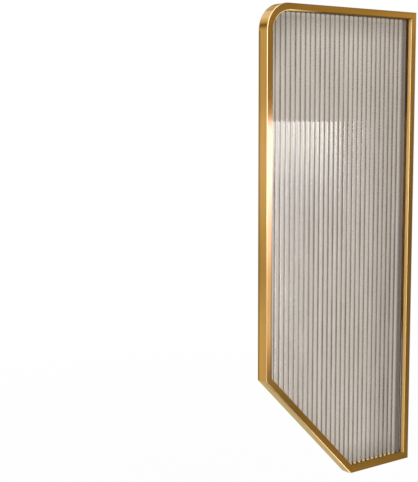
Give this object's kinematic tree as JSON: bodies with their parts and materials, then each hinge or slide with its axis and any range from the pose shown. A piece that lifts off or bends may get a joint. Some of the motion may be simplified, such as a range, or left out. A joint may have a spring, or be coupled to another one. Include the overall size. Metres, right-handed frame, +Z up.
{
  "type": "urinal privacy screen",
  "caption": "Wall-hung privacy screen: upright fluted glass in a slim brushed gold frame with a rounded top front corner and a sloping lower front corner.",
  "frame": {"origin": "on the wall plane, halfway up the screen and halfway through its thickness, at the centre of the wall fixing holes", "axes": "+X out from the wall along the screen, +Y towards the fluted side of the glass, +Z up"},
  "size_m": [0.42, 0.028, 1],
  "materials": {
    "gold_frame": "brushed, anodised gold, grain along each member",
    "gold_casting": "brushed, plated gold, grain round the bend",
    "corner_key": "as cast",
    "mill_aluminium": "mill",
    "screw_steel": "plain stainless",
    "fluted_glass": "toughened, convex flutes on one side, smooth on the other",
    "gasket_rubber": "matt black",
    "block_rubber": "matt black, hard"
  },
  "bodies": {
    "root": {"wall_stile": "gold_frame", "top_rail": "gold_frame", "corner_bend": "gold_casting", "front_stile": "gold_frame", "slope_rail": "gold_frame", "bottom_rail": "gold_frame", "top_wall_key": "corner_key", "slope_top_key": "corner_key", "slope_bottom_key": "corner_key", "bottom_wall_key": "corner_key", "key_screws": "screw_steel", "wall_channel": "mill_aluminium", "lock_screws": "screw_steel", "glass_pane": "fluted_glass", "near_gasket_wall": "gasket_rubber", "near_gasket_front": "gasket_rubber", "near_gasket_slope": "gasket_rubber", "near_gasket_bottom": "gasket_rubber", "far_gasket_wall": "gasket_rubber", "far_gasket_front": "gasket_rubber", "far_gasket_slope": "gasket_rubber", "far_gasket_bottom": "gasket_rubber", "setting_blocks": "block_rubber", "side_spacers": "block_rubber"}
  },
  "joints": []
}
